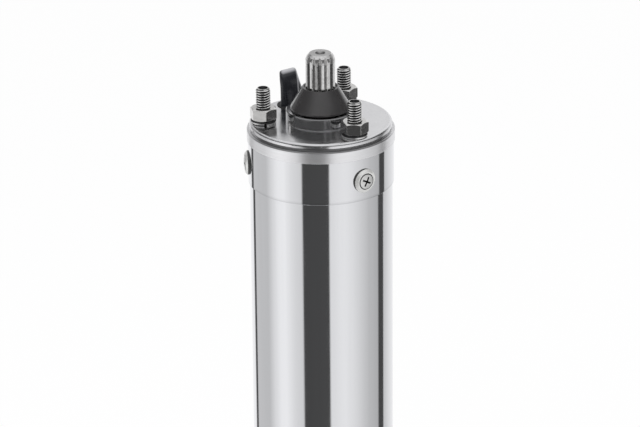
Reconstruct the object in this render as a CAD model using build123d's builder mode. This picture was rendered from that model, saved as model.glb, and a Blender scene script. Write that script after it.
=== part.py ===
from build123d import *
import os
from math import acos, ceil, cos, degrees, pi, radians, sin, sqrt, tan
from typing import NamedTuple

os.makedirs("parts", exist_ok=True)

# A slim borehole pump motor, coupling end up, standing on its base cap.
# Millimetres. Z is the shaft's axis and Z = 0 the floor it stands on.
# One stud and one side screw face -Y, and the lead leaves at +Y.


class Bearing(NamedTuple):
    """A deep-groove ball bearing, by the sizes that a catalogue gives."""

    bore_radius: float
    outer_radius: float
    width: float
    ball_radius: float
    balls: int


# Fits and gaps
seat_gap = 0.02  # radial, pressed or screwed parts of one body
spigot_gap = 0.03  # radial, castings that slide into the tube
running_gap = 0.06  # radial, lip on the turning shaft
ball_gap = 0.12  # between a ball and its tracks
pocket_gap = 0.15  # between a ball and its cage
face_gap = 0.1  # axial, loose rings in their grooves
bolt_gap = 0.3  # radial, a bolt in its clearance hole
drill_extra = 1.0  # a tapped hole's depth beyond its screw

# Shell
tube_radius = 38.8
tube_wall = 1.5
sleeve_wall = 0.7
sleeve_length = 23.8
sleeve_chamfer = 0.25

# Mounting end
plate_step = 1.4  # the plate's edge inside the rim
plate_thickness = 3.0
plate_edge = 1.5
plate_back_edge = 0.5
neck_step = 1.0  # the neck under the plate, inside the plate's edge
neck_height = 1.0
rim_step = 0.48  # the rim outside the sleeve
rim_height = 6.5
rim_edge = 0.8
spigot_length = 27.5
skirt_wall = 3.8
web_below_rim = 2.0
boss_wall = 4.0
boss_overhang = 1.5
shoulder_radius = 12.0
shoulder_thickness = 3.0
rib_width = 4.0

# Pilot ring, which is the top of the seal housing
pilot_radius = 18.8
pilot_height = 6.6
pilot_chamfer = 0.5
pilot_roof = 2.0
pilot_bore = 8.6
seal_spigot_radius = 17.0
seal_spigot_length = 9.5
seal_radius = 14.0
seal_height = 6.9
seal_case = 1.2
seal_web = 1.7
lip_foot = 0.6
lip_waist = 1.6
lip_shoulder = 1.9
lip_crown = 1.0
lip_edge_height = 4.1
lip_shoulder_height = 5.2
lip_crown_height = 5.7

# Studs, nuts and spring washers: M8
stud_count = 3
stud_start = -90.0
stud_edge = 7.6  # from the plate's edge to the studs' circle
stud_radius = 4.0
stud_stand = 19.6
stud_depth = 15.0
stud_chamfer = 0.9
stud_boss_radius = 6.3
nut_flats = 13.0
nut_height = 6.5
nut_chamfer = 0.75
nut_face_inset = 0.25
nut_turns = (20.0, 17.6, 7.7)
washer_radius = 6.9
washer_thickness = 2.1
washer_split = 1.1
washer_turns = (-150.0, 0.0, -115.0)

# Side screws in cup washers: M5
screw_drop = 12.5
screw_radius = 2.5
screw_head_radius = 4.6
screw_head_depth = 1.9
screw_length = 10.0
screw_crown = 0.5
cup_radius = 6.6
cup_height = 1.9
cup_rim = 0.7
cup_flat = 5.3
boss_below_screw = 6.0

# Shaft
shaft_stand = 38.1
seal_shaft_radius = 8.0
spline_major_radius = 7.94
spline_pitch_radius = 7.41
spline_root_radius = 6.7
spline_teeth = 14
spline_phase = 0.8
spline_pressure_angle = 30.0
spline_foot = 21.5
hob_radius = 8.0
root_arc = 1.2  # the root arc's radius, as a multiple of half the gap's foot
lead_in_radius = 5.85
lead_in_height = 3.3
lead_in_shoulder_radius = 7.25
lead_in_shoulder_height = 1.5
centre_radius = 2.8
centre_depth = 3.3
centre_drill_radius = 0.9
centre_drill_depth = 7.0
upper_shoulder_radius = 10.5
core_seat_radius = 11.0
shaft_tail = 1.8
shaft_chamfer = 0.6

# Sand slinger, a rubber cone on the shaft
slinger_lift = 0.6
slinger_height = 11.9
slinger_top_radius = 9.8
slinger_skirt_radius = 16.3
slinger_lip = 0.8
slinger_hollow = 2.6
slinger_hub_radius = 10.5
slinger_recess = 0.8

# Bearings
upper_bearing_bore = 8.5
upper_bearing_outer = 20.0
upper_bearing_width = 12.0
upper_ball_radius = 3.375
upper_ball_count = 8
lower_bearing_bore = 8.5
lower_bearing_outer = 23.5
lower_bearing_width = 14.0
lower_ball_radius = 4.365
lower_ball_count = 7
race_chamfer = 0.6
shoulder_share = 0.6  # a race shoulder's height, as a share of the ball's radius
cage_half_wall = 0.95
cage_margin = 1.0
preload_thickness = 1.0
preload_ring = 3.6
circlip_thickness = 1.2
circlip_depth = 0.6
circlip_reach = 2.2
circlip_mouth = 40.0

# Stator
stack_length = 155.0
stator_slots = 18
stator_bore_radius = 20.6
slot_foot_radius = 22.0
stator_yoke = 5.8
tooth_width = 4.2
slot_mouth = 2.2
slot_liner = 0.35
end_turn_height = 26.0
end_turn_inner = 23.6
end_turn_clearance = 2.7
end_turn_round = 0.41  # of the end turns' width
end_turn_neck = 2.5
winding_clearance = 6.0

# Rotor
air_gap = 0.5
rotor_bars = 16
bar_radius = 2.1
bar_inset = 0.6
cage_ring_height = 9.0
cage_ring_width = 6.2
cage_ring_inset = 0.5

# Lower end
base_flange = 3.0
base_chamfer = 1.0
cap_spigot = 12.0
cap_floor = 3.0
bottom_wall = 6.3
vent_radius = 1.8
vent_pitch_radius = 16.0
vents = 4
base_screws_count = 4
base_screw_start = 45.0
base_screw_inset = 3.67  # from the spigot's wall to the screws' circle
base_screw_radius = 2.0
base_head_radius = 3.5
base_head_height = 2.4
base_head_sink = 0.4
base_screw_depth = 10.0
diaphragm_flange = 2.0
diaphragm_wall = 1.5
diaphragm_rise = 30.0
diaphragm_draft = 2.0
diaphragm_round = 4.0
bracket_foot = 41.0
bracket_web = 6.0
bracket_bore = 18.0
bracket_boss_wall = 4.5
bracket_boss_lip = 3.0
bracket_rise = 8.0
bracket_rim_wall = 3.3
bracket_ribs = 6
bracket_rib_width = 3.0

# O-rings, squeezed, with their round sides as flats
o_ring_corner = 0.5
ring_depth = 1.9
ring_width = 3.0
seal_ring_depth = 1.5
seal_ring_width = 2.3
housing_ring_height = 4.5
bracket_ring_height = 20.0
seal_ring_drop = 6.0

# Lead, a flat cable that leaves a round gland, goes over the rim and down behind the motor
gland_space = 3.0  # between the gland's lip and the pilot ring
gland_lip_radius = 7.0
gland_lip_height = 0.5
gland_lip_round = 0.3
gland_stem_radius = 6.2
gland_pocket = 5.0
lead_width = 11.2
lead_thickness = 4.2
lead_length = 1500.0
lead_heading = 52.72  # degrees from +X, the way the lead runs along the floor
lead_bend = 0.45  # each bend takes this share of the shorter run beside it
floor_gap = 0.1
wire_radius = 1.2
wire_spacing = 4.0

# Put-away coil of the lead, on edge, held by a tie
coil_radius = 50.0
coil_turn_gap = 0.4
coil_stub = 34.0
tie_width = 6.0
tie_thickness = 1.0
tie_gap = 0.1
core_radius = 1.3
core_length = 44.0
core_gap = 0.4
core_inward = 40.0
core_count = 3

upper_bearing = Bearing(
    upper_bearing_bore, upper_bearing_outer, upper_bearing_width, upper_ball_radius, upper_ball_count
)
lower_bearing = Bearing(
    lower_bearing_bore, lower_bearing_outer, lower_bearing_width, lower_ball_radius, lower_ball_count
)

# Heights, from the floor up
z_cap_top = base_flange + cap_spigot
z_bracket_foot = z_cap_top + diaphragm_flange
z_bracket_web = z_bracket_foot + bracket_foot
z_lower_bearing = z_bracket_web + bracket_web
z_lower_bearing_top = z_lower_bearing + lower_bearing.width
z_bracket_boss = z_lower_bearing_top + bracket_boss_lip
z_winding_foot = z_bracket_boss + winding_clearance
z_stack = z_winding_foot + end_turn_height
z_stack_top = z_stack + stack_length
z_winding_top = z_stack_top + end_turn_height
z_skirt = z_winding_top + winding_clearance
z_rim = z_skirt + spigot_length
z_rim_top = z_rim + rim_height
z_plate = z_rim_top + neck_height
z_face = z_plate + plate_thickness
z_screws = z_rim - screw_drop
z_boss_foot = z_screws - boss_below_screw
z_seal_foot = z_face - seal_spigot_length
z_pocket_top = z_seal_foot - shoulder_thickness
z_upper_bearing = z_pocket_top - preload_thickness - upper_bearing.width
z_upper_bearing_top = z_upper_bearing + upper_bearing.width
z_housing_boss = z_upper_bearing - boss_overhang
z_web = z_rim - web_below_rim
z_pilot_top = z_face + pilot_height
z_slinger = z_pilot_top + slinger_lift
z_slinger_top = z_slinger + slinger_height
z_shaft_top = z_face + shaft_stand
z_spline_foot = z_face + spline_foot
z_washer_top = z_face + washer_thickness
z_shaft_clip = z_lower_bearing - face_gap - circlip_thickness
z_shaft_foot = z_shaft_clip - shaft_tail
z_bearing_clip = z_lower_bearing_top + face_gap

# Radii that follow from the sizes above
tube_bore = tube_radius - tube_wall
spigot_radius = tube_bore - spigot_gap
sleeve_bore = tube_radius + seat_gap
sleeve_radius = sleeve_bore + sleeve_wall
rim_radius = sleeve_radius + rim_step
plate_radius = rim_radius - plate_step
neck_radius = plate_radius - neck_step
stud_pitch_radius = plate_radius - stud_edge
gland_pitch_radius = pilot_radius + gland_space + gland_lip_radius
skirt_bore = spigot_radius - skirt_wall
upper_pocket = upper_bearing.outer_radius + seat_gap
lower_pocket = lower_bearing.outer_radius + seat_gap
seal_bore = seal_radius + seat_gap
rotor_radius = stator_bore_radius - air_gap
slot_root_radius = tube_bore - stator_yoke
end_turn_outer = tube_bore - end_turn_clearance
bottom_bore = spigot_radius - bottom_wall
base_screw_pitch_radius = spigot_radius - base_screw_inset


def outline(*points):
    """A closed face in the XZ plane, from (radius, height) points."""
    with BuildSketch(Plane.XZ) as sketch:
        with BuildLine():
            Polyline(*points, close=True)
        make_face()
    return sketch.sketch


def ring(inner, outer, foot, top):
    """The half section of a plain ring about the axis."""
    return outline((inner, foot), (outer, foot), (outer, top), (inner, top))


def ring_groove(outer, depth, width, height):
    """The half section of a groove cut into an outer wall at a height."""
    return ring(outer - depth, outer + depth, height - width / 2, height + width / 2)


def o_ring(outer, depth, width, height):
    """The half section of an O-ring that is squeezed flat between its groove's floor and the bore."""
    with BuildSketch(Plane.XZ) as sketch:
        with Locations((outer - depth / 2, height)):
            Rectangle(depth - 2 * seat_gap, width - 2 * face_gap)
        chamfer(sketch.vertices(), o_ring_corner)
    return sketch.sketch


def drill_side_holes(radius, inner, outer):
    """A round hole along the radius at each side screw."""
    with Locations((0, 0, z_screws)):
        with PolarLocations((inner + outer) / 2, stud_count, start_angle=stud_start):
            Cylinder(radius, outer - inner, rotation=(0, 90, 0), mode=Mode.SUBTRACT)


def save(builder, name):
    """Labels a finished piece and writes it as one STEP file."""
    builder.part.label = name
    export_step(builder.part, f"parts/{name}.step")


# Long stainless shell
with BuildPart() as stator_tube:
    revolve(ring(tube_bore, tube_radius, base_flange, z_rim))
    drill_side_holes(screw_radius + bolt_gap, tube_bore - tube_wall, tube_radius + tube_wall)
save(stator_tube, "stator_tube")

# Upper skirt of the shell, whose lower edge is the fine seam
with BuildPart() as shell_sleeve:
    revolve(ring(sleeve_bore, sleeve_radius, z_rim - sleeve_length, z_rim))
    lower_edges = shell_sleeve.edges().filter_by(GeomType.CIRCLE).group_by(Axis.Z)[0]
    chamfer(lower_edges.sort_by(SortBy.RADIUS)[-1], sleeve_chamfer)
    drill_side_holes(screw_radius + bolt_gap, tube_radius - sleeve_wall, sleeve_radius + sleeve_wall)
save(shell_sleeve, "shell_sleeve")

# Cast upper bearing housing: rim, web, bearing boss and the spigot that the tube slides over
with BuildPart() as upper_bearing_housing:
    revolve(
        outline(
            (seal_spigot_radius + seat_gap, z_plate),
            (neck_radius, z_plate),
            (neck_radius, z_rim_top),
            (rim_radius, z_rim_top),
            (rim_radius, z_rim),
            (spigot_radius, z_rim),
            (spigot_radius, z_skirt),
            (skirt_bore, z_skirt),
            (skirt_bore, z_web),
            (upper_pocket + boss_wall, z_web),
            (upper_pocket + boss_wall, z_housing_boss),
            (upper_pocket, z_housing_boss),
            (upper_pocket, z_pocket_top),
            (shoulder_radius, z_pocket_top),
            (shoulder_radius, z_seal_foot),
            (seal_spigot_radius + seat_gap, z_seal_foot),
        )
    )
    rim_edges = upper_bearing_housing.edges().filter_by(GeomType.CIRCLE).sort_by(SortBy.RADIUS)[-2:]
    fillet(rim_edges.sort_by(Axis.Z)[-1], rim_edge)
    housing_groove = ring_groove(spigot_radius, ring_depth, ring_width, z_skirt + housing_ring_height)
    revolve(housing_groove, mode=Mode.SUBTRACT)
    with BuildSketch(Plane.XY.offset(z_boss_foot)):
        with PolarLocations(stud_pitch_radius, stud_count, start_angle=stud_start):
            Circle(stud_boss_radius)
        Circle((spigot_radius + skirt_bore) / 2, mode=Mode.INTERSECT)
    extrude(amount=z_web - z_boss_foot)
    with BuildSketch(Plane.XY.offset(z_housing_boss)):
        rib_middle = (upper_pocket + boss_wall + stud_pitch_radius) / 2
        with PolarLocations(rib_middle, stud_count, start_angle=stud_start):
            Rectangle(stud_pitch_radius - upper_pocket - boss_wall / 2, rib_width)
        Circle(upper_pocket + boss_wall / 2, mode=Mode.SUBTRACT)
    extrude(amount=z_web - z_housing_boss)
    with BuildSketch(Plane.XY.offset(z_plate)):
        with PolarLocations(stud_pitch_radius, stud_count, start_angle=stud_start):
            Circle(stud_radius + seat_gap)
    extrude(amount=-stud_depth - stud_chamfer, mode=Mode.SUBTRACT)
    with BuildSketch(Plane.XY.offset(z_web)):
        with Locations((0, gland_pitch_radius)):
            Circle(gland_stem_radius + seat_gap)
    extrude(amount=z_plate - z_web, mode=Mode.SUBTRACT)
    drill_side_holes(screw_radius + seat_gap, sleeve_radius - screw_length - drill_extra, sleeve_radius)
save(upper_bearing_housing, "upper_bearing_housing")

# Mirror-finished mounting plate with a rolled edge
with BuildPart() as face_plate:
    revolve(ring(seal_spigot_radius + seat_gap, plate_radius, z_plate, z_face))
    outer_edges = face_plate.edges().filter_by(GeomType.CIRCLE).sort_by(SortBy.RADIUS)[-2:]
    lower_edge, upper_edge = outer_edges.sort_by(Axis.Z)
    fillet(upper_edge, plate_edge)
    chamfer(lower_edge, plate_back_edge)
    with BuildSketch(Plane.XY.offset(z_plate)):
        with PolarLocations(stud_pitch_radius, stud_count, start_angle=stud_start):
            Circle(stud_radius + bolt_gap)
        with Locations((0, gland_pitch_radius)):
            Circle(gland_stem_radius + seat_gap)
    extrude(amount=plate_thickness, mode=Mode.SUBTRACT)
save(face_plate, "face_plate")

# Seal housing, whose ring above the plate centres the pump
with BuildPart() as seal_housing:
    revolve(
        outline(
            (pilot_bore, z_pilot_top),
            (pilot_radius - pilot_chamfer, z_pilot_top),
            (pilot_radius, z_pilot_top - pilot_chamfer),
            (pilot_radius, z_face),
            (seal_spigot_radius, z_face),
            (seal_spigot_radius, z_seal_foot),
            (seal_bore, z_seal_foot),
            (seal_bore, z_pilot_top - pilot_roof),
            (pilot_bore, z_pilot_top - pilot_roof),
        )
    )
    seal_groove = ring_groove(seal_spigot_radius, seal_ring_depth, seal_ring_width, z_face - seal_ring_drop)
    revolve(seal_groove, mode=Mode.SUBTRACT)
save(seal_housing, "seal_housing")


def lip_seal(height, way):
    """The half section of a cased lip seal that stands at a height and opens up (1) or down (-1)."""
    points = (
        (seal_radius, 0),
        (seal_radius, seal_height),
        (seal_radius - seal_case, seal_height),
        (seal_radius - seal_case, seal_web),
        (seal_shaft_radius + lip_waist, seal_web),
        (seal_shaft_radius + lip_shoulder, lip_shoulder_height),
        (seal_shaft_radius + lip_crown, lip_crown_height),
        (seal_shaft_radius + running_gap, lip_edge_height),
        (seal_shaft_radius + lip_foot, 0),
    )
    return outline(*[(x, height + way * y) for x, y in points])


# Two lip seals back to back, one against the well's water and one against the filling oil
with BuildPart() as shaft_seals:
    seal_top = z_pilot_top - pilot_roof - face_gap / 2
    revolve(lip_seal(seal_top - seal_height, 1))
    revolve(lip_seal(seal_top - seal_height - face_gap, -1))
save(shaft_seals, "shaft_seals")

with BuildPart() as seal_o_ring:
    seal_ring_height = z_face - seal_ring_drop
    revolve(o_ring(seal_spigot_radius + seat_gap, seal_ring_depth, seal_ring_width, seal_ring_height))
save(seal_o_ring, "seal_o_ring")

with BuildPart() as housing_o_ring:
    revolve(o_ring(spigot_radius, ring_depth, ring_width, z_skirt + housing_ring_height))
save(housing_o_ring, "housing_o_ring")

with BuildPart() as bracket_o_ring:
    revolve(o_ring(spigot_radius, ring_depth, ring_width, z_bracket_foot + bracket_ring_height))
save(bracket_o_ring, "bracket_o_ring")

# Studs that the wet end is bolted to
with BuildPart() as mounting_studs:
    with BuildSketch(Plane.XY.offset(z_plate - stud_depth)):
        with PolarLocations(stud_pitch_radius, stud_count, start_angle=stud_start):
            Circle(stud_radius)
    extrude(amount=stud_depth + plate_thickness + stud_stand)
    chamfer(mounting_studs.edges().filter_by(GeomType.CIRCLE).group_by(Axis.Z)[-1], stud_chamfer)
    chamfer(mounting_studs.edges().filter_by(GeomType.CIRCLE).group_by(Axis.Z)[0], stud_chamfer)
save(mounting_studs, "mounting_studs")


def at_studs(height, turns):
    """One place on the axis of each stud, turned by its own angle."""
    places = []
    for index, turn in enumerate(turns):
        angle = radians(stud_start + index * 360 / stud_count)
        x, y = stud_pitch_radius * cos(angle), stud_pitch_radius * sin(angle)
        places.append(Location((x, y, height), (0, 0, turn)))
    return places


# One hexagon nut, chamfered at both faces
with BuildPart() as nut:
    nut_corner = nut_flats / sqrt(3)
    with BuildSketch():
        RegularPolygon(nut_corner, 6)
        Circle(stud_radius + seat_gap, mode=Mode.SUBTRACT)
    extrude(amount=nut_height)
    nut_face = nut_flats / 2 - nut_face_inset
    revolve(
        outline(
            (0, 0),
            (nut_face, 0),
            (nut_corner, nut_chamfer),
            (nut_corner, nut_height - nut_chamfer),
            (nut_face, nut_height),
            (0, nut_height),
        ),
        mode=Mode.INTERSECT,
    )

with BuildPart() as stud_nuts:
    with Locations(*at_studs(z_washer_top, nut_turns)):
        add(nut.part)
save(stud_nuts, "stud_nuts")

# One split spring washer
with BuildPart() as washer:
    with BuildSketch():
        Circle(washer_radius)
        Circle(stud_radius + seat_gap, mode=Mode.SUBTRACT)
        with Locations((washer_radius, 0)):
            Rectangle(2 * (washer_radius - stud_radius + washer_split), washer_split, mode=Mode.SUBTRACT)
    extrude(amount=washer_thickness)

with BuildPart() as spring_washers:
    with Locations(*at_studs(z_face, washer_turns)):
        add(washer.part)
save(spring_washers, "spring_washers")

# One cup washer along +X, and three of them curved to the sleeve on the inside
with BuildPart() as cup:
    cup_face = sleeve_radius + cup_height
    with BuildSketch(Plane.XZ):
        with BuildLine():
            Polyline(
                (sleeve_radius - cup_rim, screw_radius + bolt_gap),
                (cup_face - screw_head_depth, screw_radius + bolt_gap),
                (cup_face, screw_head_radius + seat_gap),
                (cup_face, cup_flat),
                (sleeve_radius + cup_rim, cup_radius),
                (sleeve_radius - cup_rim, cup_radius),
                close=True,
            )
        make_face()
    revolve(axis=Axis.X)

with BuildPart() as screw_cup_washers:
    with Locations((0, 0, z_screws)):
        with PolarLocations(0, stud_count, start_angle=stud_start):
            add(cup.part)
    revolve(ring(0, sleeve_radius + seat_gap, z_rim - sleeve_length, z_rim), mode=Mode.SUBTRACT)
save(screw_cup_washers, "screw_cup_washers")

# Countersunk screws with a low crown, from the cup washer into the housing's bosses
with BuildPart() as screw:
    head_face = sleeve_radius + cup_height
    with BuildSketch(Plane.XZ):
        with BuildLine():
            Polyline(
                (head_face + screw_crown, 0),
                (sleeve_radius - screw_length, 0),
                (sleeve_radius - screw_length, screw_radius),
                (head_face - screw_head_depth, screw_radius),
                (head_face, screw_head_radius),
            )
            crown_rise = (screw_head_radius**2 + screw_crown**2) / (2 * screw_crown)
            RadiusArc((head_face, screw_head_radius), (head_face + screw_crown, 0), crown_rise)
        make_face()
    revolve(axis=Axis.X)

with BuildPart() as side_screws:
    with Locations((0, 0, z_screws)):
        with PolarLocations(0, stud_count, start_angle=stud_start):
            add(screw.part)
save(side_screws, "side_screws")

# Shaft: stepped body, hobbed spline with its run-outs, lead-in cone and centre hole
with BuildPart() as rotor_shaft:
    revolve(
        outline(
            (0, z_shaft_foot),
            (lower_bearing.bore_radius - seat_gap - shaft_chamfer, z_shaft_foot),
            (lower_bearing.bore_radius - seat_gap, z_shaft_foot + shaft_chamfer),
            (lower_bearing.bore_radius - seat_gap, z_lower_bearing_top),
            (core_seat_radius, z_lower_bearing_top),
            (core_seat_radius, z_stack_top + cage_ring_height),
            (upper_shoulder_radius, z_stack_top + cage_ring_height),
            (upper_shoulder_radius, z_upper_bearing),
            (upper_bearing.bore_radius - seat_gap, z_upper_bearing),
            (upper_bearing.bore_radius - seat_gap, z_upper_bearing_top),
            (seal_shaft_radius, z_upper_bearing_top),
            (seal_shaft_radius, z_slinger_top - slinger_recess),
            (spline_major_radius, z_slinger_top - slinger_recess),
            (spline_major_radius, z_shaft_top - lead_in_height),
            (lead_in_shoulder_radius, z_shaft_top - lead_in_shoulder_height),
            (lead_in_radius, z_shaft_top),
            (centre_radius, z_shaft_top),
            (centre_drill_radius, z_shaft_top - centre_depth),
            (centre_drill_radius, z_shaft_top - centre_drill_depth),
            (0, z_shaft_top - centre_drill_depth),
        )
    )
    clip_groove = ring(
        lower_bearing.bore_radius - circlip_depth,
        lower_bearing.bore_radius + circlip_depth,
        z_shaft_clip - face_gap,
        z_shaft_clip + circlip_thickness + face_gap,
    )
    revolve(clip_groove, mode=Mode.SUBTRACT)


def half_gap(radius):
    """Half the width of the gap between two teeth at a radius, from their straight flanks."""
    tooth_thickness = pi * spline_pitch_radius / spline_teeth
    flank = tan(radians(spline_pressure_angle))
    return pi * radius / spline_teeth - tooth_thickness / 2 + (radius - spline_pitch_radius) * flank


# What the hob takes out between two teeth: a straight gap that ends in the hob's own round run-out
with BuildPart() as tooth_gap:
    gap_reach = 2 * spline_major_radius - spline_root_radius
    with BuildSketch(Plane.XY.offset(z_spline_foot)) as gap_section:
        with BuildLine():
            root_left = (spline_root_radius, -half_gap(spline_root_radius))
            root_right = (spline_root_radius, half_gap(spline_root_radius))
            mouth_left = (gap_reach, -half_gap(gap_reach))
            mouth_right = (gap_reach, half_gap(gap_reach))
            Polyline(root_right, mouth_right, mouth_left, root_left)
            RadiusArc(root_left, root_right, root_arc * half_gap(spline_root_radius))
        make_face()
    extrude(amount=z_shaft_top - z_spline_foot + lead_in_height)
    hob_turn = degrees(acos(1 - (gap_reach - spline_root_radius) / hob_radius))
    hob_axis = Axis((spline_root_radius + hob_radius, 0, z_spline_foot), (0, 1, 0))
    revolve(gap_section.sketch, axis=hob_axis, revolution_arc=-hob_turn)

with BuildPart() as splined_shaft:
    add(rotor_shaft.part)
    with PolarLocations(0, spline_teeth, start_angle=spline_phase):
        add(tooth_gap.part, mode=Mode.SUBTRACT)
save(splined_shaft, "rotor_shaft")

# Rubber cone that throws sand clear of the seal
with BuildPart() as sand_slinger:
    slinger_bore = seal_shaft_radius + seat_gap
    revolve(
        outline(
            (slinger_bore, z_slinger),
            (slinger_hub_radius, z_slinger),
            (slinger_hub_radius, z_slinger + slinger_hollow),
            (slinger_skirt_radius - slinger_hollow, z_slinger + slinger_hollow),
            (slinger_skirt_radius - slinger_lip, z_slinger),
            (slinger_skirt_radius, z_slinger),
            (slinger_skirt_radius, z_slinger + slinger_lip),
            (slinger_top_radius, z_slinger_top),
            (slinger_top_radius - slinger_recess, z_slinger_top),
            (slinger_top_radius - slinger_recess, z_slinger_top - slinger_recess),
            (slinger_bore, z_slinger_top - slinger_recess),
        )
    )
save(sand_slinger, "sand_slinger")

# Both ball bearings
for name, bearing, foot in (
    ("upper_bearing", upper_bearing, z_upper_bearing),
    ("lower_bearing", lower_bearing, z_lower_bearing),
):
    track_radius = (bearing.bore_radius + bearing.outer_radius) / 2
    middle = foot + bearing.width / 2
    shoulder = shoulder_share * bearing.ball_radius
    top = foot + bearing.width

    with BuildPart() as outer_race:
        revolve(
            outline(
                (track_radius + shoulder, foot),
                (bearing.outer_radius - race_chamfer, foot),
                (bearing.outer_radius, foot + race_chamfer),
                (bearing.outer_radius, top - race_chamfer),
                (bearing.outer_radius - race_chamfer, top),
                (track_radius + shoulder, top),
            )
        )
        with Locations((0, 0, middle)):
            Torus(track_radius, bearing.ball_radius + ball_gap, mode=Mode.SUBTRACT)
    save(outer_race, f"{name}_outer_race")

    with BuildPart() as inner_race:
        revolve(ring(bearing.bore_radius, track_radius - shoulder, foot, top))
        with Locations((0, 0, middle)):
            Torus(track_radius, bearing.ball_radius + ball_gap, mode=Mode.SUBTRACT)
    save(inner_race, f"{name}_inner_race")

    with BuildPart(Plane.XY.offset(middle)) as balls:
        with PolarLocations(track_radius, bearing.balls):
            Sphere(bearing.ball_radius)
    save(balls, f"{name}_balls")

    with BuildPart(Plane.XY.offset(middle)) as cage:
        reach = bearing.ball_radius + cage_margin
        cage_bore, cage_outer = track_radius - cage_half_wall, track_radius + cage_half_wall
        revolve(ring(cage_bore, cage_outer, middle - reach, middle + reach))
        with PolarLocations(track_radius, bearing.balls):
            pocket_radius = bearing.ball_radius + pocket_gap
            Cylinder(pocket_radius, 4 * cage_half_wall, rotation=(0, 90, 0), mode=Mode.SUBTRACT)
    save(cage, f"{name}_cage")

with BuildPart() as preload_washer:
    preload_outer = upper_bearing.outer_radius
    revolve(ring(preload_outer - preload_ring, preload_outer, z_upper_bearing_top, z_pocket_top))
save(preload_washer, "preload_washer")


def open_ring(inner, outer, foot):
    """A circlip: a flat ring with a mouth, that snaps into its groove."""
    with BuildSketch(Plane.XY.offset(foot)) as sketch:
        Circle(outer)
        Circle(inner, mode=Mode.SUBTRACT)
        with BuildLine():
            half = radians(circlip_mouth / 2)
            reach = 2 * outer
            Polyline((0, 0), (reach, -reach * tan(half)), (reach, reach * tan(half)), close=True)
        make_face(mode=Mode.SUBTRACT)
    return sketch.sketch


# Circlip in the bracket over the lower outer race
with BuildPart() as bearing_circlip:
    extrude(
        open_ring(lower_pocket - circlip_reach, lower_pocket + circlip_depth - seat_gap, z_bearing_clip),
        amount=circlip_thickness,
    )
save(bearing_circlip, "bearing_circlip")

# Circlip on the shaft under the lower inner race
with BuildPart() as shaft_circlip:
    extrude(
        open_ring(
            lower_bearing.bore_radius - circlip_depth + seat_gap,
            lower_bearing.bore_radius + circlip_reach,
            z_shaft_clip,
        ),
        amount=circlip_thickness,
    )
save(shaft_circlip, "shaft_circlip")


def slot(inset):
    """A stator slot's section, narrowed by an inset, with teeth of one width between slots."""
    low, high = slot_foot_radius + inset, slot_root_radius - inset
    half_low = pi * low / stator_slots - tooth_width / 2 - inset
    half_high = pi * high / stator_slots - tooth_width / 2 - inset
    with BuildSketch() as sketch:
        with BuildLine():
            Polyline((low, -half_low), (high, -half_high), (high, half_high), (low, half_low), close=True)
        make_face()
    return sketch.sketch


# Slotted lamination stack
with BuildPart() as stator_core:
    with BuildSketch(Plane.XY.offset(z_stack)):
        Circle(tube_bore - seat_gap)
        Circle(stator_bore_radius, mode=Mode.SUBTRACT)
        with PolarLocations(0, stator_slots):
            add(slot(0), mode=Mode.SUBTRACT)
        with PolarLocations((stator_bore_radius + slot_foot_radius) / 2, stator_slots):
            Rectangle(2 * (slot_foot_radius - stator_bore_radius), slot_mouth, mode=Mode.SUBTRACT)
    extrude(amount=stack_length)
save(stator_core, "stator_core")


def end_turns(near, far):
    """The half section of the bound end turns, flat towards the stack and rounded at the far end."""
    with BuildSketch(Plane.XZ) as sketch:
        with BuildLine():
            inner, outer = end_turn_inner, end_turn_outer
            Polyline((inner, near), (outer, near), (outer, far), (inner, far), close=True)
        make_face()
        far_corners = sketch.vertices().sort_by(lambda corner: abs(corner.Y - far))[:2]
        fillet(far_corners, end_turn_round * (outer - inner))
    return sketch.sketch


# Windings: a bar of wires in every slot and a bound ring of end turns at each end
with BuildPart() as stator_windings:
    with BuildSketch(Plane.XY.offset(z_stack - 2 * end_turn_neck)):
        with PolarLocations(0, stator_slots):
            add(slot(slot_liner))
    extrude(amount=stack_length + 4 * end_turn_neck)
    revolve(end_turns(z_stack - end_turn_neck, z_winding_foot))
    revolve(end_turns(z_stack_top + end_turn_neck, z_winding_top))
save(stator_windings, "stator_windings")

# Rotor laminations with closed round slots
with BuildPart() as rotor_core:
    with BuildSketch(Plane.XY.offset(z_stack)):
        Circle(rotor_radius)
        Circle(core_seat_radius + seat_gap, mode=Mode.SUBTRACT)
        with PolarLocations(rotor_radius - bar_inset - bar_radius, rotor_bars):
            Circle(bar_radius, mode=Mode.SUBTRACT)
    extrude(amount=stack_length)
save(rotor_core, "rotor_core")

# Cast cage: a bar through every rotor slot, joined by a ring at each end
with BuildPart() as rotor_cage:
    with BuildSketch(Plane.XY.offset(z_stack - cage_ring_height / 2)):
        with PolarLocations(rotor_radius - bar_inset - bar_radius, rotor_bars):
            Circle(bar_radius - seat_gap)
    extrude(amount=stack_length + cage_ring_height)
    end_outer = rotor_radius - cage_ring_inset
    end_inner = end_outer - cage_ring_width
    revolve(ring(end_inner, end_outer, z_stack - cage_ring_height, z_stack))
    revolve(ring(end_inner, end_outer, z_stack_top, z_stack_top + cage_ring_height))
save(rotor_cage, "rotor_cage")

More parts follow.
